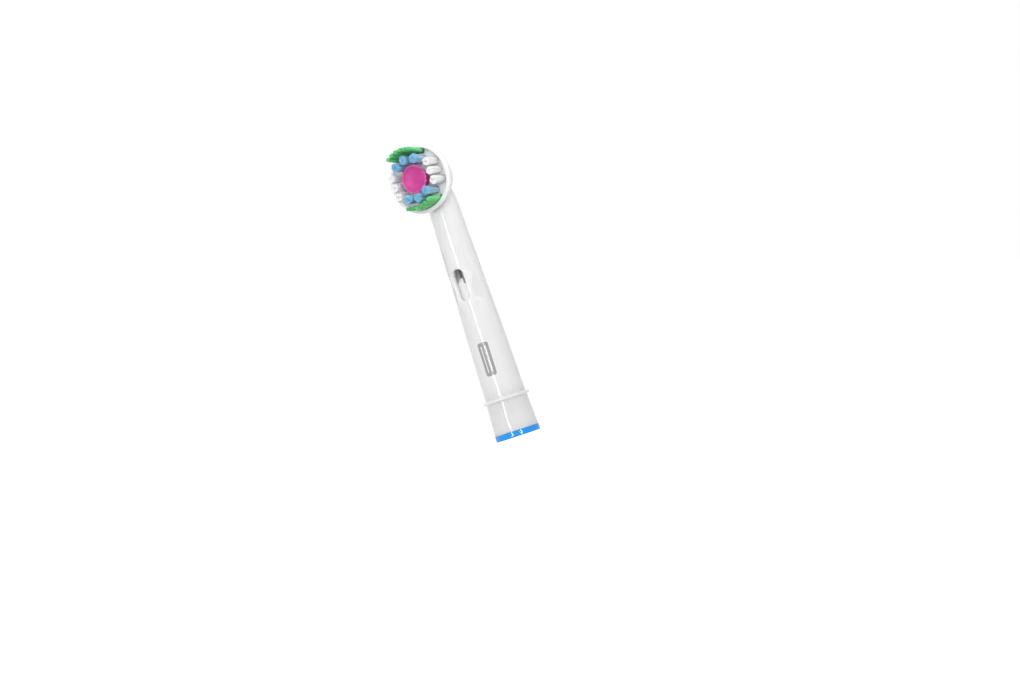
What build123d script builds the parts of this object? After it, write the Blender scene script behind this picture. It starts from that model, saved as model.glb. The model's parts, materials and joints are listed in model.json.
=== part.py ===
from build123d import *
from math import cos, pi, radians, sin
import os

# Head of an oscillating electric toothbrush, in millimetres.
# +Z runs up the neck from the middle of its foot, and the bristles face -Y.
# Distances "in front" are measured from the neck's axis towards the bristles.

# Clearances
fit_clearance = 0.02  # pieces pressed or clipped together
running_clearance = 0.05  # journals and bearings
moving_gap = 0.3  # pieces that swing past each other

# Neck moulding
head_height = 67.9  # disc axis above the foot
flange_height = 9.9
flange_reach = 0.7
flange_root = 1.2
flange_tip = 0.3
skirt_step = 0.1  # ring stands proud of the skirt
skirt_wall = 0.75
neck_foot_wall = 0.65
neck_foot_slope = 0.012
neck_middle_wall = 1.36
neck_middle_height = 35.0
neck_top_wall = 1.2
neck_tip_radius = 2.6  # where the neck ends inside the head shell
window_width = 3.0
window_length = 8.2
window_height = 39.9
window_edge = 0.25

# Foot ring
ring_wall = 0.65
ring_height = 1.5
ring_lip = 0.5
ring_edge = 0.2
spigot_wall = 0.6
snap_depth = 0.15

# Handle socket
socket_radius = 3.8
socket_depth = 9.0
insert_wall = 0.7
insert_web = 1.0
insert_stop = 0.1  # shoulder in the neck that the sleeve is pushed up against
key_width = 1.6
key_depth = 0.35
key_length = 6.0

# Coupler that takes the handle's shaft
shaft_radius = 1.9
shaft_round_depth = 9.0
shaft_tip_inset = 0.25  # shaft's flattened tip is slimmer by this
shaft_flat_depth = 8.0
shaft_flat_offset = 1.2
coupler_wall = 1.1
coupler_show = 1.8  # coupler's top above the middle of the window
coupler_nose_wall = 0.8
coupler_nose_length = 1.3
nose_step_width = 0.6  # coupler's top slopes down to a step beside the rod
nose_step_depth = 1.6
coupler_flange_inset = 0.5
coupler_flange_thickness = 1.0
coupler_play = 0.2
coupler_bore_room = 0.55
slit_width = 0.8
slit_length = 6.0
clip_rise = 3.2  # clip's middle above the coupler's flange
clip_width = 0.8
clip_thickness = 0.4
clip_sink = 0.25
clip_arc = 300

# Drive rod and its bush
rod_radius = 1.4
rod_grip = 10.0
crank_throw = 2.0
crank_thickness = 1.0
crank_lug = 0.65
crank_pin_radius = 0.5
crank_pin_length = 2.7  # from the crank's lug up to the middle of the ball
ball_radius = 0.65
ball_room = 0.75  # between the ball and the disc's journal
bush_length = 4.4
bush_drop = 9.5  # bush's top below the disc axis
bush_flange_reach = 0.2
bush_flange_thickness = 0.8

# Bristle disc
disc_thickness = 3.05  # from its flat back to the floor that the tufts stand on
disc_bevel = 1.8  # from the disc's rim in to its flat back
disc_bulge_radius = 12.0
rim_height = 1.5  # rim stands proud of the floor
rim_width = 0.95
rim_slope = 0.4
rim_land = 0.3
rim_edge = 0.2
rim_margin = 0.15
journal_radius = 1.6
journal_chamfer = 0.3
groove_depth = 0.5
fork_rib_width = 0.9
fork_rib_height = 1.6
fork_overlap = 0.15  # how far the fork reaches behind the ball
ball_clearance = 0.1

# Head shell
shell_radius = 6.55
shell_middle = 3.75  # middle of the shell's sphere in front of the neck's axis
shell_seam_turn = 60  # keeps the sphere's seam off the seam of the neck
shell_wall = 1.0
boss_wall = 1.35
boss_gap = 0.8  # behind the fork
journal_end_gap = 0.2
pin_radius = 0.5
pin_land = 0.4
pin_inset = 0.3

# Polishing cup
cup_radius = 2.3
cup_waist_radius = 2.2
cup_lip_radius = 3.6
cup_height = 3.85
cup_waist_height = 1.3
cup_seat_depth = 0.6
cup_stud_radius = 0.9
cup_stud_length = 0.6
cup_lip_width = 0.5
cup_dish_depth = 1.0
cup_dish_slope = 3.0  # steepness of the dish where it leaves the lip
cup_lip_round = 0.15
flute_radius = 0.2
flute_count = 20

# Tufts
tuft_turn = 4.5  # whole layout of tufts, turned on the disc
tuft_tip_radius = 1.15
tuft_flare = 0.3
tuft_seat_depth = 1.1
tuft_ridge = 0.9  # valley radius over ridge radius
tuft_ridges = 12
blue_length = 5.75
white_length = 5.05
green_length = 7.1
blue_gap = 0.15  # from the cup's lip
blue_angle = 33
white_gap = 0.75  # from the cup's lip
white_spacing = 0.15
crescent_tip = 0.7  # half of the crescent's thickness at its tips
crescent_flare = 0.1
crescent_gap = 0.45
crescent_lean = 0.3
crescent_half_angle = 26
crescent_steps = 14
cap_steps = 4
hole_clearance = 0.05
anchor_thickness = 0.25
anchor_height = 0.9
crescent_anchor_angle = 17

# Foot and neck, from the socket outwards
insert_radius = socket_radius + insert_wall
insert_top = socket_depth + insert_web
spigot_radius = insert_radius + spigot_wall
ring_bore = spigot_radius + fit_clearance
ring_radius = spigot_radius + ring_wall
snap_height = (ring_lip + ring_height) / 2
skirt_foot_radius = ring_radius - skirt_step
skirt_top_radius = insert_radius + skirt_wall
flange_radius = skirt_top_radius + flange_reach
neck_foot_radius = insert_radius + neck_foot_wall

# Coupler and rod, from the shaft outwards
shaft_tip_radius = shaft_radius - shaft_tip_inset
coupler_radius = shaft_radius + coupler_wall
coupler_foot = socket_depth
coupler_top = window_height + coupler_show
coupler_nose_radius = rod_radius + coupler_nose_wall
coupler_flange_radius = insert_radius - coupler_flange_inset
coupler_room_radius = insert_radius + fit_clearance - insert_stop
flange_foot = insert_top + coupler_play
flange_top = flange_foot + coupler_flange_thickness
clip_height = flange_top + clip_rise
rod_foot = coupler_top - rod_grip
ball_drop = journal_radius + ball_room + ball_radius
ball_height = head_height - ball_drop
crank_top = ball_height - crank_pin_length
crank_foot = crank_top - crank_thickness
bush_radius = crank_throw + crank_lug + running_clearance
bush_flange_radius = bush_radius + bush_flange_reach
bush_top = head_height - bush_drop
bush_seat = bush_top - bush_length
bore_foot_height = flange_top + coupler_play
bore_foot_radius = coupler_radius + coupler_bore_room
bore_top_radius = bush_flange_radius + running_clearance
bore_taper = (bore_foot_radius - bore_top_radius) / (bush_seat - bore_foot_height)
bore_middle_radius = bore_foot_radius - bore_taper * (neck_middle_height - bore_foot_height)
neck_middle_radius = bore_middle_radius + neck_middle_wall
neck_top_radius = bush_radius + neck_top_wall

# Disc and tufts, from the cup outwards
tuft_root_radius = tuft_tip_radius - tuft_flare
tuft_hole_radius = tuft_root_radius + hole_clearance
blue_radius = cup_lip_radius + blue_gap + tuft_tip_radius
white_offset = cup_lip_radius + white_gap + tuft_tip_radius
white_pitch = 2 * tuft_tip_radius + white_spacing
crescent_root = crescent_tip - crescent_flare
crescent_radius = blue_radius + tuft_tip_radius + crescent_gap + crescent_tip - crescent_lean
rim_radius = crescent_radius + crescent_root + rim_margin
disc_radius = rim_radius + rim_width
disc_back_radius = disc_radius - disc_bevel
disc_back = crank_throw + ball_radius + moving_gap
disc_front = disc_back + disc_thickness
rim_front = disc_front + rim_height
rim_back = rim_front - rim_slope - rim_land
tuft_seat = disc_front - tuft_seat_depth
neck_top_height = head_height - disc_radius - moving_gap

# Head shell, round the disc's journal
fork_back = crank_throw - ball_radius - fork_overlap
boss_front = fork_back - boss_gap
boss_radius = journal_radius + boss_wall
shell_front = disc_back - moving_gap
shell_back = shell_radius - shell_middle
journal_back = shell_back - shell_wall - journal_end_gap
groove_radius = journal_radius - groove_depth
pin_offset = groove_radius + running_clearance + pin_radius
pin_setback = (journal_back - boss_front) / 2
pin_reach = boss_radius - pin_land
disc_axis = Axis((0, 0, head_height), (0, 1, 0))


def front_plane(distance):
    # Faces the bristles, centred on the disc axis: its x is +X and its y is +Z.
    return Plane(origin=(0, -distance, head_height), x_dir=(1, 0, 0), z_dir=(0, -1, 0))


def finish(part, name):
    part.label = name
    export_step(part, f"parts/{name}.step")


os.makedirs("parts", exist_ok=True)

# Neck housing: skirt, flange, neck and domed head shell in one moulding
with BuildPart() as neck_housing:
    with BuildSketch(Plane.XZ):
        with BuildLine():
            foot = Polyline(
                (0, ring_lip),
                (spigot_radius, ring_lip),
                (spigot_radius, snap_height - snap_depth),
                (spigot_radius - snap_depth, snap_height),
                (spigot_radius, snap_height + snap_depth),
                (spigot_radius, ring_height),
                (skirt_foot_radius, ring_height),
                (skirt_top_radius, flange_height - flange_root / 2),
                (flange_radius, flange_height - flange_tip / 2),
                (flange_radius, flange_height + flange_tip / 2),
                (neck_foot_radius, flange_height + flange_root / 2),
            )
            lower = TangentArc(
                foot @ 1, (neck_middle_radius, neck_middle_height), tangent=(-neck_foot_slope, 1)
            )
            upper = TangentArc(lower @ 1, (neck_top_radius, neck_top_height), tangent=lower % 1)
            tip = TangentArc(upper @ 1, (neck_tip_radius, head_height), tangent=upper % 1)
            Polyline(tip @ 1, (0, head_height), foot @ 0)
        make_face()
    revolve(axis=Axis.Z)
    # domed shell behind the disc
    with Locations((0, -shell_middle, head_height)):
        Sphere(shell_radius, rotation=(0, 0, shell_seam_turn))
    # dished seat that the disc swings in, which leaves a shoulder on the neck
    with BuildSketch(Plane.XY.offset(head_height)):
        Polygon(
            (0, -shell_front),
            (disc_back_radius + moving_gap, -shell_front),
            (disc_radius + moving_gap, moving_gap - rim_back),
            (disc_radius + moving_gap, -shell_middle - shell_radius),
            (0, -shell_middle - shell_radius),
            align=None,
        )
    revolve(axis=disc_axis, mode=Mode.SUBTRACT)
    # hollow of the shell, with the bearing boss left standing in it
    with Locations((0, -shell_middle, head_height)):
        Sphere(shell_radius - shell_wall, mode=Mode.SUBTRACT)
    with BuildSketch(front_plane(boss_front)):
        Circle(boss_radius)
    extrude(amount=-(boss_front + shell_back - shell_wall))
    with BuildSketch(front_plane(boss_front)):
        Circle(journal_radius + running_clearance)
    extrude(amount=-(boss_front + journal_back + journal_end_gap), mode=Mode.SUBTRACT)
    # stepped bore: insert, coupler flange, tapering coupler bore, bush seat
    with BuildSketch(Plane.XZ):
        Polygon(
            (0, 0),
            (insert_radius + fit_clearance, 0),
            (insert_radius + fit_clearance, insert_top),
            (coupler_room_radius, insert_top),
            (coupler_room_radius, bore_foot_height),
            (bore_foot_radius, bore_foot_height),
            (bore_top_radius, bush_seat),
            (bush_radius + fit_clearance, bush_seat),
            (bush_radius + fit_clearance, head_height - boss_radius - shell_wall),
            (0, head_height - boss_radius - shell_wall),
            align=None,
        )
    revolve(axis=Axis.Z, mode=Mode.SUBTRACT)
    # hole for the retaining pin, down from the tip
    with BuildSketch(Plane.XY.offset(head_height - pin_reach)):
        with Locations((pin_offset, pin_setback)):
            Circle(pin_radius + fit_clearance)
    extrude(amount=pin_reach + shell_radius, mode=Mode.SUBTRACT)
    # window in front, its outer edge softened
    with BuildSketch(Plane(origin=(0, 0, window_height), x_dir=(1, 0, 0), z_dir=(0, -1, 0))):
        SlotOverall(window_length, window_width, rotation=90)
    extrude(amount=neck_foot_radius, mode=Mode.SUBTRACT)
    rim_depth = neck_middle_radius - neck_middle_wall / 2
    window_rim = (
        neck_housing.edges()
        .filter_by_position(Axis.Y, -neck_foot_radius, -rim_depth)
        .filter_by_position(Axis.X, -window_width, window_width)
        .filter_by_position(Axis.Z, window_height - window_length, window_height + window_length)
    )
    fillet(window_rim, window_edge)
finish(neck_housing.part, "neck_housing")

# Blue foot ring, an angle section with a snap bead inside
with BuildPart() as base_ring:
    with BuildSketch(Plane.XZ):
        Polygon(
            (insert_radius + fit_clearance, 0),
            (ring_radius, 0),
            (ring_radius, ring_height),
            (ring_bore, ring_height),
            (ring_bore, snap_height + snap_depth),
            (ring_bore - snap_depth, snap_height),
            (ring_bore, snap_height - snap_depth),
            (ring_bore, ring_lip),
            (insert_radius + fit_clearance, ring_lip),
            align=None,
        )
    revolve(axis=Axis.Z)
    outer = base_ring.edges().filter_by(GeomType.CIRCLE).sort_by(lambda edge: edge.radius)[-2:]
    fillet(outer, ring_edge)
finish(base_ring.part, "base_ring")

# Socket sleeve in the foot: takes the handle's nose and keeps the coupler in
with BuildPart() as base_insert:
    with BuildSketch(Plane.XZ):
        Polygon(
            (socket_radius, 0),
            (insert_radius, 0),
            (insert_radius, insert_top),
            (coupler_radius + running_clearance, insert_top),
            (coupler_radius + running_clearance, socket_depth),
            (socket_radius, socket_depth),
            align=None,
        )
    revolve(axis=Axis.Z)
    with BuildSketch(Plane.XY):
        Rectangle(2 * (socket_radius + key_depth), key_width)
    extrude(amount=key_length, mode=Mode.SUBTRACT)
finish(base_insert.part, "base_insert")

# Coupler: sleeve from the handle's shaft up to the rod, slit so that its foot can grip
with BuildPart() as rod_coupler:
    clip_bed = coupler_radius - clip_sink - fit_clearance
    clip_half = clip_width / 2 + fit_clearance
    with BuildSketch(Plane.XZ):
        Polygon(
            (0, coupler_foot),
            (coupler_radius, coupler_foot),
            (coupler_radius, flange_foot),
            (coupler_flange_radius, flange_foot),
            (coupler_flange_radius, flange_top),
            (coupler_radius, flange_top),
            (coupler_radius, clip_height - clip_half),
            (clip_bed, clip_height - clip_half),
            (clip_bed, clip_height + clip_half),
            (coupler_radius, clip_height + clip_half),
            (coupler_radius, coupler_top - coupler_nose_length),
            (coupler_nose_radius, coupler_top),
            (0, coupler_top),
            align=None,
        )
    revolve(axis=Axis.Z)
    # round mouth for the shaft, and above it the flat that drives the rod
    with BuildSketch(Plane.XY.offset(coupler_foot)):
        Circle(shaft_radius)
    extrude(amount=shaft_round_depth, mode=Mode.SUBTRACT)
    with BuildSketch(Plane.XY.offset(coupler_foot + shaft_round_depth)):
        Circle(shaft_tip_radius)
        with Locations((0, shaft_flat_offset)):
            Rectangle(
                2 * shaft_radius, shaft_radius, align=(Align.CENTER, Align.MIN), mode=Mode.SUBTRACT
            )
    extrude(amount=shaft_flat_depth, mode=Mode.SUBTRACT)
    with BuildSketch(Plane.XY.offset(flange_top)):
        Rectangle(slit_width, 2 * coupler_flange_radius)
    extrude(amount=slit_length, mode=Mode.SUBTRACT)
    with BuildSketch(Plane.XY.offset(rod_foot)):
        Circle(rod_radius + fit_clearance)
    extrude(amount=rod_grip, mode=Mode.SUBTRACT)
    with BuildSketch(Plane.XZ):
        Polygon(
            (0, coupler_top),
            (nose_step_width, coupler_top - nose_step_depth),
            (coupler_radius, coupler_top - nose_step_depth),
            (coupler_radius, coupler_top),
            align=None,
        )
    extrude(amount=coupler_radius, both=True, mode=Mode.SUBTRACT)
finish(rod_coupler.part, "rod_coupler")

# Spring ring round the coupler's slit foot
with BuildPart() as coupler_clip:
    with BuildSketch(Plane.XZ):
        with Locations((coupler_radius - clip_sink, clip_height)):
            Rectangle(clip_thickness, clip_width, align=(Align.MIN, Align.CENTER))
    revolve(axis=Axis.Z, revolution_arc=clip_arc)
finish(coupler_clip.part, "coupler_clip")

# Drive rod with a crank at its top, ending in a ball that the disc's fork straddles
with BuildPart() as drive_rod:
    with BuildSketch(Plane.XY.offset(rod_foot)):
        Circle(rod_radius)
    extrude(amount=crank_foot - rod_foot)
    with BuildSketch(Plane.XY.offset(crank_foot)):
        Circle(rod_radius)
        with Locations((0, -crank_throw)):
            Circle(crank_lug)
        make_hull()
    extrude(amount=crank_thickness)
    with BuildSketch(Plane.XY.offset(crank_top)):
        with Locations((0, -crank_throw)):
            Circle(crank_pin_radius)
    extrude(amount=crank_pin_length)
    with Locations((0, -crank_throw, ball_height)):
        Sphere(ball_radius)
finish(drive_rod.part, "drive_rod")

# Flanged bush that steadies the rod in the top of the neck
with BuildPart() as rod_bush:
    with BuildSketch(Plane.XZ):
        Polygon(
            (rod_radius + running_clearance, bush_seat - bush_flange_thickness),
            (bush_flange_radius, bush_seat - bush_flange_thickness),
            (bush_flange_radius, bush_seat),
            (bush_radius, bush_seat),
            (bush_radius, bush_top),
            (rod_radius + running_clearance, bush_top),
            align=None,
        )
    revolve(axis=Axis.Z)
finish(rod_bush.part, "rod_bush")

# Pin that keeps the disc's journal in its bore
with BuildPart() as retaining_pin:
    pin_exit = (shell_radius**2 - (shell_middle + pin_setback) ** 2 - pin_offset**2) ** 0.5
    with BuildSketch(Plane.XY.offset(head_height - pin_reach)):
        with Locations((pin_offset, pin_setback)):
            Circle(pin_radius)
    extrude(amount=pin_reach + pin_exit - pin_inset)
finish(retaining_pin.part, "retaining_pin")


def turned(x, y):
    # Place on the disc, turned with the whole layout about the disc axis.
    turn = radians(tuft_turn)
    return x * cos(turn) - y * sin(turn), x * sin(turn) + y * cos(turn)


# Places of the tufts on the disc, as x and height above the disc axis
side_names = {"left": -1, "right": 1}
end_names = {"top": 1, "bottom": -1}
blue_out = blue_radius * sin(radians(blue_angle))
blue_up = blue_radius * cos(radians(blue_angle))
blue_tufts = {}
for end, up in end_names.items():
    blue_tufts[f"blue_tuft_{end}_middle"] = turned(0, up * blue_radius)
    for side_name, right in side_names.items():
        blue_tufts[f"blue_tuft_{end}_{side_name}"] = turned(right * blue_out, up * blue_up)
white_tufts = {}
for side_name, right in side_names.items():
    for row, up in {"upper": 1, "middle": 0, "lower": -1}.items():
        white_tufts[f"white_tuft_{side_name}_{row}"] = turned(right * white_offset, up * white_pitch)
round_tufts = blue_tufts | white_tufts
crescents = {"green_tuft_top": 90 + tuft_turn, "green_tuft_bottom": 270 + tuft_turn}


def crescent_anchor_places(middle_angle):
    angles = [middle_angle + step * crescent_anchor_angle for step in (-1, 0, 1)]
    return [
        Location((crescent_radius * cos(radians(a)), crescent_radius * sin(radians(a)), 0), (0, 0, a))
        for a in angles
    ]


# Bristle disc: turned dish with a raised rim, a grooved journal and fork behind, tuft holes in front
with BuildPart() as bristle_disc:
    groove_half = pin_radius + running_clearance
    with BuildSketch(Plane.XY.offset(head_height)):
        with BuildLine():
            journal = Polyline(
                (0, journal_back),
                (journal_radius - journal_chamfer, journal_back),
                (journal_radius, journal_back - journal_chamfer),
                (journal_radius, pin_setback + groove_half),
                (groove_radius, pin_setback + groove_half),
                (groove_radius, pin_setback - groove_half),
                (journal_radius, pin_setback - groove_half),
                (journal_radius, -disc_back),
                (disc_back_radius, -disc_back),
            )
            bulge = RadiusArc(journal @ 1, (disc_radius, -rim_back), disc_bulge_radius)
            Polyline(
                bulge @ 1,
                (disc_radius, rim_slope - rim_front),
                (rim_radius, -rim_front),
                (rim_radius, -disc_front),
                (0, -disc_front),
                journal @ 0,
            )
        make_face()
    revolve(axis=disc_axis)
    crests = bristle_disc.edges().filter_by(GeomType.CIRCLE).group_by(Axis.Y)[:2]
    fillet([edge for crest in crests for edge in crest], rim_edge)
    with BuildSketch(front_plane(disc_back)):
        rib_offset = ball_radius + ball_clearance + fork_rib_width / 2
        with Locations((-rib_offset, -ball_drop), (rib_offset, -ball_drop)):
            Rectangle(fork_rib_width, fork_rib_height)
    extrude(amount=fork_back - disc_back)
    with BuildSketch(front_plane(disc_front)):
        with Locations(*round_tufts.values()):
            Circle(tuft_hole_radius)
        for middle_angle in crescents.values():
            start = middle_angle - crescent_half_angle
            stop = middle_angle + crescent_half_angle
            line = Edge.make_circle(crescent_radius, start_angle=start, end_angle=stop)
            SlotArc(line, 2 * (crescent_root + hole_clearance))
    extrude(amount=-tuft_seat_depth, mode=Mode.SUBTRACT)
    with BuildSketch(front_plane(disc_front)):
        Circle(cup_radius + fit_clearance)
    extrude(amount=-cup_seat_depth, mode=Mode.SUBTRACT)
    with BuildSketch(front_plane(disc_front - cup_seat_depth)):
        Circle(cup_stud_radius + fit_clearance)
    extrude(amount=-cup_stud_length, mode=Mode.SUBTRACT)
finish(bristle_disc.part, "bristle_disc")

# Polishing cup: rubber, dished in front, fluted round its side, with a stud in the disc
with BuildPart() as polishing_cup:
    cup_front = disc_front + cup_height
    cup_seat = disc_front - cup_seat_depth
    with BuildSketch(Plane.XY.offset(head_height)):
        with BuildLine():
            root = Polyline(
                (0, -(cup_seat - cup_stud_length)),
                (cup_stud_radius, -(cup_seat - cup_stud_length)),
                (cup_stud_radius, -cup_seat),
                (cup_radius, -cup_seat),
                (cup_radius, -disc_front),
            )
            wall = Spline(
                root @ 1,
                (cup_waist_radius, -disc_front - cup_waist_height),
                (cup_lip_radius, cup_lip_round - cup_front),
            )
            lip = Polyline(
                wall @ 1,
                (cup_lip_radius - cup_lip_round, -cup_front),
                (cup_lip_radius - cup_lip_width, -cup_front),
            )
            dish_ends = ((-1, cup_dish_slope), (-1, 0))
            dish = Spline(lip @ 1, (0, cup_dish_depth - cup_front), tangents=dish_ends)
            Line(dish @ 1, root @ 0)
        make_face()
    revolve(axis=disc_axis)
    with BuildSketch(front_plane(disc_front + cup_waist_height)):
        with PolarLocations(cup_lip_radius, flute_count):
            Circle(flute_radius)
    extrude(amount=cup_height, mode=Mode.SUBTRACT)
finish(polishing_cup.part, "polishing_cup")


def bundle_outline(radius):
    # Ridged round: the radius swings between ridge and valley at even angles.
    steps = [pi * step / tuft_ridges for step in range(2 * tuft_ridges)]
    radii = [radius, radius * tuft_ridge] * tuft_ridges
    return [(r * cos(a), r * sin(a)) for r, a in zip(radii, steps)]


def crescent_outline(middle_angle, radius, half_thickness):
    # Ridged arc with round ends: outer side, end, inner side, end, each at even steps.
    across = []
    span = [2 * step / crescent_steps - 1 for step in range(crescent_steps + 1)]
    across += [(t, half_thickness) for t in span]
    across += [(1, half_thickness * cos(pi * k / cap_steps)) for k in range(1, cap_steps)]
    across += [(-t, -half_thickness) for t in span]
    across += [(-1, -half_thickness * cos(pi * k / cap_steps)) for k in range(1, cap_steps)]
    points = []
    for index, (along, out) in enumerate(across):
        ridge = tuft_ridge if index % 2 else 1
        bow = (half_thickness**2 - out**2) ** 0.5 * along
        angle = radians(middle_angle - along * crescent_half_angle)
        distance = radius + out * ridge
        x = distance * cos(angle) + bow * sin(angle)
        y = distance * sin(angle) - bow * cos(angle)
        points.append((x, y))
    return points


# Round tufts, each flaring from its hole and split at its root by the anchor
for name, place in round_tufts.items():
    tuft_length = blue_length if name in blue_tufts else white_length
    with BuildPart() as tuft:
        with BuildSketch(front_plane(tuft_seat)):
            with Locations(place):
                Polygon(*bundle_outline(tuft_root_radius), align=None)
        with BuildSketch(front_plane(disc_front + tuft_length)):
            with Locations(place):
                Polygon(*bundle_outline(tuft_tip_radius), align=None)
        loft(ruled=True)
        with BuildSketch(front_plane(tuft_seat)):
            with Locations(place):
                Rectangle(2 * tuft_hole_radius, anchor_thickness + fit_clearance)
        extrude(amount=anchor_height + fit_clearance, mode=Mode.SUBTRACT)
    finish(tuft.part, name)

# Crescent tufts, leaning a little outwards
for name, middle_angle in crescents.items():
    with BuildPart() as crescent:
        with BuildSketch(front_plane(tuft_seat)):
            Polygon(*crescent_outline(middle_angle, crescent_radius, crescent_root), align=None)
        with BuildSketch(front_plane(disc_front + green_length)):
            leaning = crescent_radius + crescent_lean
            Polygon(*crescent_outline(middle_angle, leaning, crescent_tip), align=None)
        loft(ruled=True)
        with BuildSketch(front_plane(tuft_seat)):
            with Locations(*crescent_anchor_places(middle_angle)):
                Rectangle(2 * (crescent_root + hole_clearance), anchor_thickness + fit_clearance)
        extrude(amount=anchor_height + fit_clearance, mode=Mode.SUBTRACT)
    finish(crescent.part, name)

# Anchor blades at the bottom of the tuft holes
with BuildPart() as tuft_anchors:
    blade_half = (tuft_hole_radius**2 - anchor_thickness**2) ** 0.5
    with BuildSketch(front_plane(tuft_seat)):
        with Locations(*round_tufts.values()):
            Rectangle(2 * blade_half, anchor_thickness)
        for middle_angle in crescents.values():
            with Locations(*crescent_anchor_places(middle_angle)):
                Rectangle(2 * crescent_root, anchor_thickness)
    extrude(amount=anchor_height)
finish(tuft_anchors.part, "tuft_anchors")
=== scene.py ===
import json

import bpy
import numpy as np
from mathutils import Matrix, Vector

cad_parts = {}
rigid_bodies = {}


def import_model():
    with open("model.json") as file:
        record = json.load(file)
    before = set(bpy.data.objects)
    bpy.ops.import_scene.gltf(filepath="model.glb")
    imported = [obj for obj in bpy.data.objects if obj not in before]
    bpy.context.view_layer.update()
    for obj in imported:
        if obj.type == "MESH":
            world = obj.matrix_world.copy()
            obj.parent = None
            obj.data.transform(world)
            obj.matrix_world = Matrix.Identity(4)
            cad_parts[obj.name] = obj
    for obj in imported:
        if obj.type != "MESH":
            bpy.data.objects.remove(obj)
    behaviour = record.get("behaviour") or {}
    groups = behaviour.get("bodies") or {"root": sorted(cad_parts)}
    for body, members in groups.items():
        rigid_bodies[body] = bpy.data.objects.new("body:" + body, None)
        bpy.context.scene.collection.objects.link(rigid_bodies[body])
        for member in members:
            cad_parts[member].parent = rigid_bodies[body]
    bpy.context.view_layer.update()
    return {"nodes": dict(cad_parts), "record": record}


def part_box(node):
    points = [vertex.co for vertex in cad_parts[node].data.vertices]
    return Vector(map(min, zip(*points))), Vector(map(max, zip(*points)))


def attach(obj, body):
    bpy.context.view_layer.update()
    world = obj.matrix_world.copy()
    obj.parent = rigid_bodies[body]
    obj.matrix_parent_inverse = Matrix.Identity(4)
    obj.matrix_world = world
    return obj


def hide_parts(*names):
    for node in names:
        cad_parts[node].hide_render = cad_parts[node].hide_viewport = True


for leftover in list(bpy.data.objects):
    bpy.data.objects.remove(leftover)

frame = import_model()
nodes = frame["nodes"]
mm = 0.001
dice = np.random.default_rng(11)  # one seeded source, so every run gives the same bristles
print("frame loaded:", len(nodes), "nodes")


# Helpers for meshes

def boxOf(node):
    low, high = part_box(node)
    return np.array(low), np.array(high)


def unit(vector):
    return vector / np.linalg.norm(vector)


def pointRows(x, y, z):
    # One point to a row, where any of the three may be a single number.
    return np.column_stack(np.broadcast_arrays(x, y, z))


def loopQuads(rows, columns):
    # Quads of a grid whose columns close into a ring, row after row.
    start = np.arange(rows - 1)[:, None] * columns
    here = np.arange(columns)[None, :]
    after = (here + 1) % columns
    corners = [start + here, start + after, start + columns + after, start + columns + here]
    return np.stack(corners, -1).reshape(-1, 4)


def makePiece(name, points, faces, material, body, node):
    mesh = bpy.data.meshes.new(name)
    mesh.from_pydata(points.tolist(), [], faces)
    mesh.shade_smooth()
    mesh.materials.append(material)
    piece = bpy.data.objects.new(name, mesh)
    bpy.context.scene.collection.objects.link(piece)
    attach(piece, body)
    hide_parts(node)
    return piece


def writeAttribute(piece, name, values):
    layer = piece.data.attributes.new(name, "FLOAT", "POINT")
    layer.data.foreach_set("value", np.ascontiguousarray(values, dtype=np.float32))


# Helpers for materials

noiseDetail = dict(slow=2, fine=3)


def newMaterial(name):
    material = bpy.data.materials.new(name)
    material.use_nodes = True
    return material, material.node_tree, material.node_tree.nodes["Principled BSDF"]


def feed(tree, node, inputs):
    # Sets each input, or links it where what it gets is another node's output.
    for key, value in inputs.items():
        if isinstance(value, bpy.types.NodeSocket):
            tree.links.new(value, node.inputs[key])
        else:
            node.inputs[key].default_value = value


def addNode(tree, kind, inputs=None, **settings):
    node = tree.nodes.new(kind)
    for key, value in settings.items():
        setattr(node, key, value)
    feed(tree, node, inputs or {})
    return node


def objectPlace(tree):
    return addNode(tree, "ShaderNodeTexCoord").outputs["Object"]


def attributeOf(tree, name):
    return addNode(tree, "ShaderNodeAttribute", attribute_name=name).outputs["Fac"]


def calc(tree, operation, first, second=0.0, clamp=False):
    return addNode(tree, "ShaderNodeMath", {0: first, 1: second},
                   operation=operation, use_clamp=clamp).outputs[0]


def noiseAt(tree, scale, detail, stretch=(1, 1, 1)):
    # Noise on Object coordinates: scale is in cycles per metre, and stretch pulls it out along
    # an axis.
    pulled = addNode(tree, "ShaderNodeMapping", {"Vector": objectPlace(tree), "Scale": stretch})
    return addNode(tree, "ShaderNodeTexNoise", {"Vector": pulled.outputs["Vector"], "Scale": scale,
                                                "Detail": noiseDetail[detail]}).outputs["Fac"]


def between(tree, factor, first, second):
    # Blends two colours, each of them a triple or another node's output.
    ends = [end if isinstance(end, bpy.types.NodeSocket) else (*end, 1) for end in (first, second)]
    return addNode(tree, "ShaderNodeMix", {0: factor, 6: ends[0], 7: ends[1]},
                   data_type="RGBA").outputs[2]


def remap(tree, factor, low, high, start=0.0, end=1.0):
    # Runs evenly from low to high while the factor goes from start to end, and stops there.
    ends = {"From Min": start, "From Max": end, "To Min": low, "To Max": high}
    return addNode(tree, "ShaderNodeMapRange", {"Value": factor, **ends}).outputs["Result"]


def bumped(tree, height, distance):
    return addNode(tree, "ShaderNodeBump", {"Height": height, "Distance": distance,
                                            "Strength": 1.0}).outputs["Normal"]


def letThrough(look):
    # Light that enters the surface and comes out again within about the look's depth.
    return {"Subsurface Weight": look["milky"], "Subsurface Scale": look["depth"],
            "Subsurface Radius": (1, 1, 1)}


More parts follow.
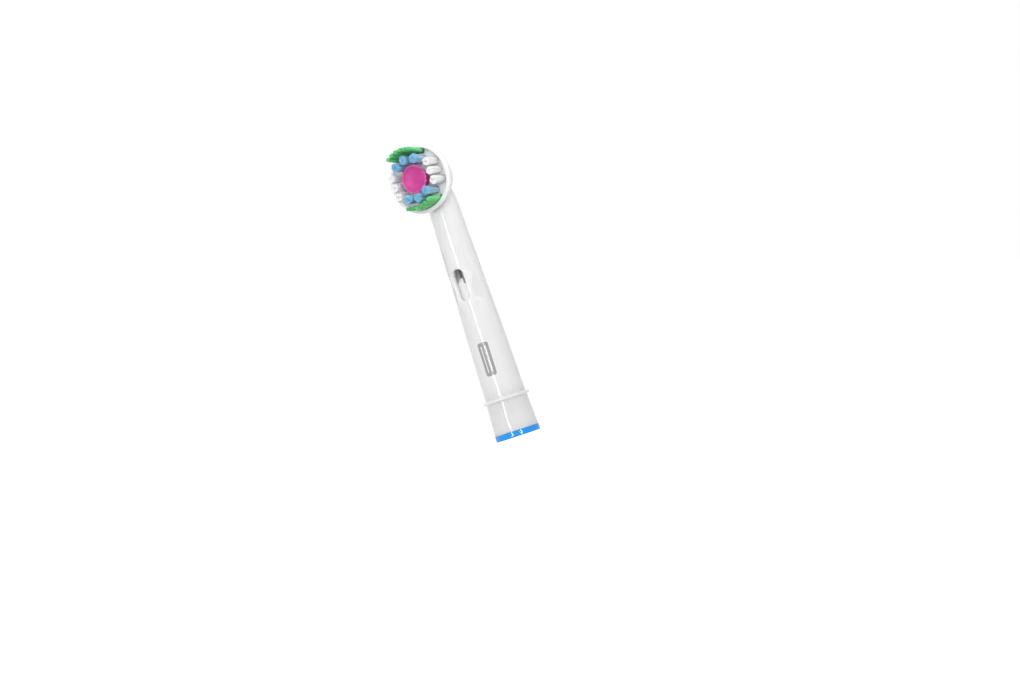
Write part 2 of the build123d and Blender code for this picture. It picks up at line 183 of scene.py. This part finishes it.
def printed(tree, base, mark):
    # Printed oblong with two pale lines along it, on the front only. A point is inside while its
    # reach past the centres of the round corners is less than their radius.
    place = addNode(tree, "ShaderNodeSeparateXYZ", {0: objectPlace(tree)}).outputs
    across = calc(tree, "ABSOLUTE", calc(tree, "SUBTRACT", place["X"], mark["middle"][0]))
    along = calc(tree, "ABSOLUTE", calc(tree, "SUBTRACT", place["Z"], mark["middle"][1]))
    squares = []
    for reach, half in zip((across, along), mark["half"]):
        past = calc(tree, "MAXIMUM", calc(tree, "SUBTRACT", reach, half - mark["corner"]))
        squares.append(calc(tree, "MULTIPLY", past, past))
    past = calc(tree, "SQRT", calc(tree, "ADD", *squares))
    inside = calc(tree, "MULTIPLY", calc(tree, "LESS_THAN", past, mark["corner"]),
                  calc(tree, "LESS_THAN", place["Y"], -mark["depth"]))
    offLine = calc(tree, "ABSOLUTE", calc(tree, "SUBTRACT", across, mark["lineAt"]))
    line = calc(tree, "MULTIPLY", calc(tree, "LESS_THAN", offLine, mark["lineHalf"][0]),
                calc(tree, "LESS_THAN", along, mark["lineHalf"][1]))
    ink = calc(tree, "MULTIPLY", inside, calc(tree, "SUBTRACT", 1.0, line))
    return between(tree, ink, base, mark["colour"])


def mouldedPlastic(name, look):
    # Moulded plastic: slow drift between two shades, uneven gloss and a fine orange-peel skin,
    # with some light carried through the thin walls.
    material, tree, shader = newMaterial(name)
    drift = noiseAt(tree, look["driftScale"], "slow")
    base = between(tree, drift, look["colour"], look["shade"])
    if "mark" in look:
        base = printed(tree, base, look["mark"])
    skin = noiseAt(tree, look["skinScale"], "fine")
    feed(tree, shader, {"Base Color": base, "Roughness": remap(tree, drift, *look["roughness"]),
                        "Specular IOR Level": look["specular"], **letThrough(look),
                        "Normal": bumped(tree, skin, look["skinDepth"])})
    return material


def drawnMetal(name, look):
    # Drawn metal: fine lines along the drawing direction vary the shade and the roughness.
    material, tree, shader = newMaterial(name)
    lines = noiseAt(tree, look["lineScale"], "fine", look["stretch"])
    feed(tree, shader, {"Base Color": between(tree, lines, look["colour"], look["shade"]),
                        "Roughness": remap(tree, lines, *look["roughness"]), "Metallic": 1.0,
                        "Normal": bumped(tree, lines, look["lineDepth"])})
    return material


# Materials of the CAD nodes that stay

frontMark = dict(middle=(0.94 * mm, 20.4 * mm), half=(1.35 * mm, 4.25 * mm), corner=0.5 * mm,
                 depth=4.0 * mm, lineAt=0.55 * mm, lineHalf=(0.14 * mm, 3.4 * mm),
                 colour=(0.37, 0.37, 0.375))
plastics = {
    "neckPlastic": dict(
        nodes=["neck_housing"], mark=frontMark, colour=(0.83, 0.83, 0.832),
        shade=(0.805, 0.807, 0.81), driftScale=130, roughness=(0.09, 0.13), specular=0.5,
        skinScale=2600, skinDepth=0.6e-6, milky=0.6, depth=3.0 * mm),
    "ringPlastic": dict(
        nodes=["base_ring"], colour=(0.005, 0.35, 0.87), shade=(0.010, 0.27, 0.84),
        driftScale=400, roughness=(0.12, 0.17), specular=0.35,
        skinScale=3000, skinDepth=0.12e-6, milky=0.0, depth=1.6 * mm),
    "discPlastic": dict(
        nodes=["bristle_disc"], colour=(0.85, 0.85, 0.852), shade=(0.825, 0.825, 0.83),
        driftScale=350, roughness=(0.24, 0.32), specular=0.4,
        skinScale=4000, skinDepth=0.8e-6, milky=0.8, depth=1.6 * mm),
    "innerPlastic": dict(
        nodes=["base_insert", "rod_coupler", "rod_bush"], colour=(0.86, 0.86, 0.855),
        shade=(0.81, 0.81, 0.805), driftScale=300, roughness=(0.34, 0.46), specular=0.4,
        skinScale=5000, skinDepth=1.2e-6, milky=0.2, depth=1.6 * mm),
}
metals = {
    "rodSteel": dict(
        nodes=["drive_rod", "retaining_pin", "coupler_clip"], colour=(0.46, 0.46, 0.47),
        shade=(0.32, 0.32, 0.33), lineScale=9000, stretch=(1, 1, 0.04), roughness=(0.20, 0.36),
        lineDepth=1.0e-6),
    "anchorBrass": dict(
        nodes=["tuft_anchors"], colour=(0.72, 0.53, 0.25), shade=(0.58, 0.42, 0.18),
        lineScale=9000, stretch=(0.1, 1, 1), roughness=(0.25, 0.4), lineDepth=1.0e-6),
}


def dress(material, names):
    for name in names:
        nodes[name].data.materials.clear()
        nodes[name].data.materials.append(material)


for name, look in plastics.items():
    dress(mouldedPlastic(name, look), look["nodes"])
for name, look in metals.items():
    dress(drawnMetal(name, look), look["nodes"])
print("plastics and metals done")


# Bristle tufts: bundles of nylon filaments that replace the plain CAD bundles

# Each look's foot is a painted shade: the share of brightness left at the filaments' feet in the
# tuft holes.
tuftLooks = {
    "blue_nylon": dict(root=(0.62, 0.75, 1.0), tip=(0.27, 0.59, 1.0), foot=0.62, vary=0.16,
                       milky=0.9, depth=0.3 * mm),
    "white_nylon": dict(root=(0.955, 0.95, 0.955), tip=(0.975, 0.975, 0.97), foot=0.97, vary=0.02,
                        milky=0.4, depth=0.12 * mm),
    "green_nylon": dict(root=(0.18, 0.68, 0.28), tip=(0.12, 0.66, 0.19), foot=0.3, vary=0.34,
                        milky=0.9, depth=0.3 * mm),
}
nylonSkin = dict(footZone=(0.16, 0.34), roughness=(0.30, 0.42), specular=0.4)
# The darkening of filaments at a bundle's edge is painted shade for the gaps between bundles.
filament = dict(radius=0.104 * mm, pitch=0.178 * mm, sides=6, nudge=0.05, splay=0.03 * mm,
                uneven=0.14 * mm, bow=0.035 * mm, shade=0.5, shadeSpread=0.16, outerDark=0.22,
                along=(0, 0.2, 0.34, 0.6, 0.85, 0.978, 0.993, 1.0),
                girth=(1, 1, 1, 1, 1, 1, 0.8, 0.4))


def nylon(name, look):
    # Nylon filament: painted shade darkens the foot, where the tuft stands in its hole; then
    # root and tip colours blend along the length, and each filament and each bundle has its own
    # shade, which also carries painted shade between bundles and painted light on the upper
    # crescent.
    material, tree, shader = newMaterial(name)
    along, tint = attributeOf(tree, "along"), attributeOf(tree, "tint")
    colour = between(tree, along, look["root"], look["tip"])
    # Painted shade: the filaments are darkened towards their feet, where they stand in the disc's
    # tuft holes.
    foot = remap(tree, along, look["foot"], 1.0, *nylonSkin["footZone"])
    level = calc(tree, "MULTIPLY", foot, remap(tree, tint, 1 - look["vary"], 1 + look["vary"]))
    shaded = addNode(tree, "ShaderNodeVectorMath", {0: colour, "Scale": level}, operation="SCALE")
    feed(tree, shader, {"Base Color": shaded.outputs["Vector"],
                        "Roughness": remap(tree, tint, *nylonSkin["roughness"]),
                        "Specular IOR Level": nylonSkin["specular"], **letThrough(look)})
    return material


def latticeAcross(halfWidth, halfHeight):
    # Points of a hexagonal lattice over a rectangle, each nudged a little off its place.
    step, rise = filament["pitch"], filament["pitch"] * np.sqrt(0.75)
    rows = np.arange(-np.ceil(halfHeight / rise), np.ceil(halfHeight / rise) + 1)
    columns = np.arange(-np.ceil(halfWidth / step), np.ceil(halfWidth / step) + 1)
    u = columns[None, :] * step + (rows[:, None] % 2) * step / 2
    v = np.broadcast_to(rows[:, None] * rise, u.shape)
    spread = np.stack([u, v], -1).reshape(-1, 2)
    return spread + dice.normal(0, filament["nudge"] * step, spread.shape)


def bundled(spread, seeds, look):
    # Filaments gather to the nearest seed: a tip moves a share of the way to it, sits lower the
    # further out it stands (a square law), and takes its bundle's own height, lean and shade.
    # Filaments towards a bundle's edge are darker: painted shade for the gaps between bundles.
    away = spread[:, None, :] - seeds[None, :, :]
    which = np.argmin((away ** 2).sum(-1), 1)
    toSeed = seeds[which] - spread
    far = (toSeed ** 2).sum(-1) / look["bundleSize"] ** 2
    lean = dice.normal(0, look["lean"], seeds.shape)[which]
    lower = dice.uniform(0, look["step"], len(seeds))[which] + look["crown"] * far
    lower = lower + dice.uniform(0, filament["uneven"], len(spread))
    shade = filament["shade"] + dice.normal(0, look["shadeStep"], len(seeds))[which]
    shade = shade + dice.normal(0, filament["shadeSpread"], len(spread))
    # Painted shade: filaments towards a bundle's edge, in the gaps between bundles, are made
    # darker.
    shade = np.clip(shade - filament["outerDark"] * np.minimum(far, 1), 0, 1)
    splay = dice.normal(0, filament["splay"], spread.shape)
    return spread + toSeed * look["pull"] + lean + splay, lower, shade


def makeTuft(name, roots, tips, shade, node, material):
    # Each filament is a round tube from its root to its tip: the axis bends by a small bow (a
    # parabola), the radius is even and rolls off over the last few hundredths into a blunt
    # rounded end.
    count, sides, rows = len(roots), filament["sides"], len(filament["along"])
    along = np.array(filament["along"])
    girth = np.array(filament["girth"]) * filament["radius"]
    swing = np.linspace(0, 2 * np.pi, sides, endpoint=False)
    axis = roots[:, None, :] + (tips - roots)[:, None, :] * along[None, :, None]
    lean = dice.normal(0, filament["bow"], (count, 1, 3)) * np.array([1, 0, 1])
    axis = axis + lean * (along * (1 - along) * 4)[None, :, None]
    ring = pointRows(np.cos(swing), 0, np.sin(swing))
    points = axis[:, :, None, :] + girth[None, :, None, None] * ring[None, None, :, :]
    first = np.arange(count)[:, None] * rows * sides  # each filament's first point
    quads = (loopQuads(rows, sides)[None] + first[:, :, None]).reshape(-1, 4)
    tipCaps = first + (rows - 1) * sides + np.arange(sides)[None, :]
    rootCaps = first + np.arange(sides)[None, ::-1]
    faces = quads.tolist() + tipCaps.tolist() + rootCaps.tolist()
    piece = makePiece(name, points.reshape(-1, 3), faces, material, "brush", node)
    for label, values in {"along": along[None, :, None], "tint": shade[:, None, None]}.items():
        writeAttribute(piece, label, np.broadcast_to(values, points.shape[:3]).reshape(-1))


def camelName(node):
    first, *rest = node.split("_")
    return first + "".join(word.capitalize() for word in rest)


roundTufts = dict(flare=0.3 * mm, margin=0.03 * mm, bundles=5, ring=0.62, bundleSize=0.5 * mm,
                  pull=0.14, lean=0.03 * mm, step=0.10 * mm, crown=0.10 * mm, shadeStep=0.16,
                  fan=0.18, droop=0.25 * mm)
discLow, discHigh = boxOf("bristle_disc")
axisHeight = (discLow[2] + discHigh[2]) / 2
for slot in ("blue_nylon", "white_nylon"):
    material = nylon(camelName(slot), tuftLooks[slot])
    for entry in frame["record"]["subparts"]:
        if entry["material_slot"] != slot:
            continue
        # Filaments over a circle, in bundles whose seeds stand in a ring.
        node = entry["node"]
        low, high = boxOf(node)
        centre = (low + high) / 2
        tipRadius = (high[0] - low[0]) / 2 - roundTufts["margin"] - filament["radius"]
        spread = latticeAcross(tipRadius, tipRadius)
        spread = spread[np.hypot(spread[:, 0], spread[:, 1]) < tipRadius]
        roots = spread * ((tipRadius - roundTufts["flare"]) / tipRadius)  # tighter than the tips
        swing = np.arange(roundTufts["bundles"]) * 2 * np.pi / roundTufts["bundles"]
        swing = dice.uniform(0, 2 * np.pi) + swing
        seeds = np.column_stack([np.cos(swing), np.sin(swing)]) * roundTufts["ring"] * tipRadius
        tips, lower, shade = bundled(spread, seeds, roundTufts)
        if slot == "blue_nylon":
            # the tips fan out from the cup: each moves out by a share of its depth in the tuft
            outward = unit(np.array([centre[0], centre[2] - axisHeight]))
            tips = tips + roundTufts["fan"] * (tips @ outward + tipRadius)[:, None] * outward
        elif centre[0] > 0:
            tips = tips - np.array([0, roundTufts["droop"]])  # the right-hand white tufts sag
        inner = pointRows(centre[0] + roots[:, 0], high[1], centre[2] + roots[:, 1])
        outer = pointRows(centre[0] + tips[:, 0], low[1] + lower, centre[2] + tips[:, 1])
        makeTuft(camelName(node), inner, outer, shade, node, material)
print("round tufts done")

# The lift given to the upper crescent's shade is painted light on its shaded underside.
crescents = dict(rootRadius=6.9 * mm, outward=0.55 * mm, halfAngle=26, layoutTurn=4.5,
                 halfRoot=0.6 * mm, halfTip=0.7 * mm, margin=0.03 * mm, seedInset=0.05 * mm,
                 bundles=6, bundleSize=0.75 * mm, pull=0.32, lean=0.05 * mm, step=0.26 * mm,
                 crown=0.4 * mm, shadeStep=0.14, topLift=0.45)
greenNylon = nylon("greenNylon", tuftLooks["green_nylon"])
for node, side in {"green_tuft_top": 1, "green_tuft_bottom": -1}.items():
    # Filaments over a curved oblong: u runs along the arc and v across it, with round ends.
    low, high = boxOf(node)
    rootRadius = crescents["rootRadius"]
    reach = np.radians(crescents["halfAngle"]) * rootRadius
    half = crescents["halfTip"] - filament["radius"] - crescents["margin"]
    spread = latticeAcross(reach + half, half)
    past = np.maximum(np.abs(spread[:, 0]) - reach, 0)
    spread = spread[np.hypot(past, spread[:, 1]) < half]
    seedU = np.linspace(-1, 1, crescents["bundles"]) * (reach - crescents["seedInset"])
    tips, lower, shade = bundled(spread, np.column_stack([seedU, 0 * seedU]), crescents)
    if side > 0:
        shade = np.clip(shade + crescents["topLift"], 0, 1)  # painted light: the upper crescent, whose seen underside lies in shade, is made paler
    squeeze = min((crescents["halfRoot"] - filament["radius"]) / half, 1)
    middle = -side * np.radians(crescents["layoutTurn"])
    rootTurn = middle + spread[:, 0] / rootRadius
    tipTurn = middle + tips[:, 0] / rootRadius
    rootOut = rootRadius + spread[:, 1] * squeeze
    tipOut = rootRadius + crescents["outward"] + tips[:, 1]
    inner = pointRows(rootOut * np.sin(rootTurn), high[1],
                      axisHeight + side * rootOut * np.cos(rootTurn))
    outer = pointRows(tipOut * np.sin(tipTurn), low[1] + lower,
                      axisHeight + side * tipOut * np.cos(tipTurn))
    makeTuft(camelName(node), inner, outer, shade, node, greenNylon)
print("crescent tufts done")


# Polishing cup: soft fluted rubber with a rolled lip and a shallow dish

# The pale colour, with its band and share, paints a sheen on the rolled lip.
cup = dict(steps=240, flutes=20, fluteDepth=0.24 * mm, groovePower=0.7, studDepth=1.2 * mm,
           drawnRadius=3.6 * mm, drawnHeight=3.85 * mm, waistFrom=1.6 * mm, waistFade=1.2 * mm,
           wallRows=16, lipFrom=3.25 * mm, lipFade=0.3 * mm, lipHeight=3.75 * mm, poleRadius=1e-6,
           toneBand=0.16 * mm, toneShare=0.7, colour=(0.58, 0.048, 0.29), deep=(0.46, 0.02, 0.21),
           rim=(0.70, 0.19, 0.44), cloudScale=900, cloudBlend=(-0.2, 0.25), patchScale=420,
           patchZone=(0.38, 0.62), patchShare=0.55, roughness=(0.38, 0.52), specular=0.4,
           milky=0.25, depth=0.5 * mm, skinScale=5200, skinDepth=4e-6)


def rubber(name, look):
    # Soft rubber: the lip is painted paler than the wall, a painted sheen for light caught on the
    # rolled lip, with a cloudy drift, deeper patches and a fine matt skin.
    material, tree, shader = newMaterial(name)
    cloud = noiseAt(tree, look["cloudScale"], "fine")
    drift = remap(tree, cloud, *look["cloudBlend"])
    blend = calc(tree, "ADD", attributeOf(tree, "lip"), drift, clamp=True)
    # Painted sheen on the lip, plus a random cloudy paleness over the whole cup.
    pale = between(tree, blend, look["colour"], look["rim"])
    patches = remap(tree, noiseAt(tree, look["patchScale"], "slow"), 0, 1, *look["patchZone"])
    toned = between(tree, calc(tree, "MULTIPLY", patches, look["patchShare"]), pale, look["deep"])
    skin = noiseAt(tree, look["skinScale"], "fine")
    feed(tree, shader, {"Base Color": toned, "Roughness": remap(tree, cloud, *look["roughness"]),
                        "Specular IOR Level": look["specular"], **letThrough(look),
                        "Normal": bumped(tree, skin, look["skinDepth"])})
    return material


# The wall, lip and dish are one profile turned about the disc axis: each row has a radius and a
# height over the disc. Flutes press the wall in by a row of round grooves, the positive part of a
# cosine raised to a power, which fade in over the waist and run out over the lip.
low, high = boxOf("polishing_cup")
seatY = high[1] - cup["studDepth"]  # the disc's floor, which the cup's foot stands on
cupTop, lipRadius = seatY - low[1], (high[0] - low[0]) / 2
profile = np.array([
    (0.0, -0.6), (2.0, -0.6), (2.28, -0.55), (2.28, -0.02), (2.25, 0.15), (2.21, 0.5),
    (2.19, 0.9), (2.21, 1.3), (2.32, 1.75), (2.51, 2.2), (2.74, 2.6), (2.98, 2.95),
    (3.21, 3.25), (3.40, 3.48), (3.53, 3.62), (3.59, 3.70), (3.60, 3.77), (3.55, 3.83),
    (3.45, 3.85), (3.33, 3.84), (3.21, 3.79), (3.10, 3.71), (2.95, 3.59), (2.72, 3.45),
    (2.40, 3.32), (1.98, 3.21), (1.46, 3.12), (0.94, 3.07), (0.42, 3.05), (0.0, 3.05)]) * mm
profile *= np.array([lipRadius / cup["drawnRadius"], cupTop / cup["drawnHeight"]])
rowRadius, rowHeight, rows = profile[:, :1], profile[:, 1:], len(profile)
fadeIn = np.clip((rowHeight - cup["waistFrom"]) / cup["waistFade"], 0, 1)
fadeOut = np.clip((rowRadius - cup["lipFrom"]) / cup["lipFade"], 0, 1)
fadeOut = fadeOut * (rowHeight > cup["lipHeight"])
fluted = np.where(np.arange(rows)[:, None] < cup["wallRows"], fadeIn, fadeOut)
around = np.linspace(0, 2 * np.pi, cup["steps"], endpoint=False)
groove = np.clip(np.cos(cup["flutes"] * around), 0, 1) ** cup["groovePower"]
radius = rowRadius - cup["fluteDepth"] * fluted * groove[None, :]
radius[[0, -1]] = cup["poleRadius"]
x, y, z = radius * np.sin(around), seatY - rowHeight, axisHeight + radius * np.cos(around)
points = np.stack(np.broadcast_arrays(x, y, z), -1).reshape(-1, 3)
quads = loopQuads(rows, cup["steps"])[:, ::-1]  # its rings run the other way round from a tuft's
firstRow = np.arange(cup["steps"])
lastRow = (rows - 1) * cup["steps"] + firstRow
faces = quads.tolist() + [lastRow[::-1].tolist(), firstRow.tolist()]
cupPiece = makePiece("polishingCup", points, faces, rubber("cupRubber", cup), "brush",
                     "polishing_cup")
# The lip's painted sheen is a bell curve of the height under the cup's top.
paintedLipSheen = np.exp(-((rowHeight - cupTop) / cup["toneBand"]) ** 2) * cup["toneShare"]
writeAttribute(cupPiece, "lip", np.repeat(paintedLipSheen, cup["steps"]))
print("polishing cup done")


# Stage: floor, world, lamps and camera

stageLook = dict(size=3.0, drop=0.02 * mm, floor=0.8, floorGlow=0.60, worldLight=0.56,
                 worldShown=1.0)
edge, level = stageLook["size"] / 2, -stageLook["drop"]
floorMesh = bpy.data.meshes.new("floor")
floorMesh.from_pydata([(-edge, -edge, level), (edge, -edge, level), (edge, edge, level),
                       (-edge, edge, level)], [], [(0, 1, 2, 3)])
floor = bpy.data.objects.new("floor", floorMesh)
bpy.context.scene.collection.objects.link(floor)


def seenDirectly(tree):
    # One where a ray comes from the camera, or from a mirror or clear surface, and nought
    # otherwise.
    path = addNode(tree, "ShaderNodeLightPath").outputs
    first = calc(tree, "MAXIMUM", path["Is Camera Ray"], path["Is Glossy Ray"])
    return calc(tree, "MAXIMUM", first, path["Is Transmission Ray"])


floorMaterial = bpy.data.materials.new("paleFloor")
floorMaterial.use_nodes = True
tree = floorMaterial.node_tree
tree.nodes.clear()
plain = addNode(tree, "ShaderNodeBsdfDiffuse", {"Color": (stageLook["floor"],) * 3 + (1,)})
glow = addNode(tree, "ShaderNodeEmission", {"Strength": stageLook["floorGlow"]})
lit = addNode(tree, "ShaderNodeAddShader", {0: plain.outputs[0], 1: glow.outputs[0]})
choose = addNode(tree, "ShaderNodeMixShader", {0: seenDirectly(tree), 1: plain.outputs[0],
                                               2: lit.outputs[0]})
addNode(tree, "ShaderNodeOutputMaterial", {"Surface": choose.outputs[0]})
floorMesh.materials.append(floorMaterial)

world = bpy.data.worlds.new("studio")
bpy.context.scene.world = world
world.use_nodes = True
tree = world.node_tree
tree.nodes.clear()
ambient, shown = [
    addNode(tree, "ShaderNodeBackground", {"Color": (1, 1, 1, 1), "Strength": stageLook[strength]})
    for strength in ("worldLight", "worldShown")]
choose = addNode(tree, "ShaderNodeMixShader", {0: seenDirectly(tree), 1: ambient.outputs[0],
                                               2: shown.outputs[0]})
addNode(tree, "ShaderNodeOutputWorld", {"Surface": choose.outputs[0]})


def putUp(thing, place, side, up, back):
    # Places a lamp or the camera: it looks along minus back, with side to its right.
    turned = np.column_stack([side, up, back])
    thing.matrix_world = Matrix.Translation(place) @ Matrix(turned.tolist()).to_4x4()
    bpy.context.scene.collection.objects.link(thing)


glint = dict(distance=0.06, height=0.0007, aim=0.0007, size=(0.010, 0.0014), watts=6.1e-5,
             spread=26, shows="gloss")
lamps = {
    "frontStrip": dict(azimuth=0.5, distance=0.50, height=0.10, aim=0.04, size=(0.08, 0.60),
                       watts=1.2, spread=180, shows="gloss"),
    "leftSoft": dict(azimuth=-80, distance=0.70, height=0.10, aim=0.04, size=(0.50, 0.50),
                     watts=1.5, spread=180, shows="diffuse"),
    "rightSoft": dict(azimuth=33, distance=0.70, height=0.05, aim=0.04, size=(0.36, 0.36),
                      watts=3.0, spread=180, shows="diffuse"),
    "headFill": dict(azimuth=58, distance=0.065, height=0.095, aim=0.068, size=(0.05, 0.05),
                     watts=0.015, spread=180, shows="diffuse"),
    "headLift": dict(azimuth=-12, distance=0.075, height=0.115, aim=0.068, size=(0.06, 0.06),
                     watts=0.012, spread=180, shows="diffuse"),
    "leftGlint": dict(azimuth=1, **glint),
    "rightGlint": dict(azimuth=48, **glint),
}
for name, lamp in lamps.items():
    data = bpy.data.lights.new(name, "AREA")
    data.shape, data.size, data.size_y, data.energy = "RECTANGLE", *lamp["size"], lamp["watts"]
    data.spread = np.radians(lamp["spread"])  # the glints keep to the foot
    light = bpy.data.objects.new(name, data)
    light.visible_camera = False
    light.visible_diffuse = lamp["shows"] == "diffuse"  # the soft lamps light the shapes
    light.visible_glossy = lamp["shows"] == "gloss"  # and the strips only draw highlights
    angle, distance = np.radians(lamp["azimuth"]), lamp["distance"]
    place = np.array([np.sin(angle) * distance, -np.cos(angle) * distance, lamp["height"]])
    back = unit(place - np.array([0, 0, lamp["aim"]]))  # faces the neck at the height of its aim
    side = unit(np.cross([0, 0, 1], back))
    putUp(light, place.tolist(), side, np.cross(back, side), back)

# The lens and place were solved from the photo's own outline; the frame is 1020 by 680.
viewpoint = dict(place=(0.18218, -0.32442, 0.003), ahead=(-0.4762, 0.87764, 0.05463),
                 up=(0.2996, 0.10353, 0.94843), lens=52.64, sensor=36, nearest=0.005)
lens = bpy.data.cameras.new("photoView")
lens.lens, lens.sensor_width = viewpoint["lens"], viewpoint["sensor"]
lens.clip_start = viewpoint["nearest"]
camera = bpy.data.objects.new("photoView", lens)
ahead = unit(np.array(viewpoint["ahead"]))
right = unit(np.cross(ahead, viewpoint["up"]))
putUp(camera, viewpoint["place"], right, np.cross(right, ahead), -ahead)
bpy.context.scene.camera = camera
bpy.context.scene.view_settings.view_transform = "Standard"
print("stage done")
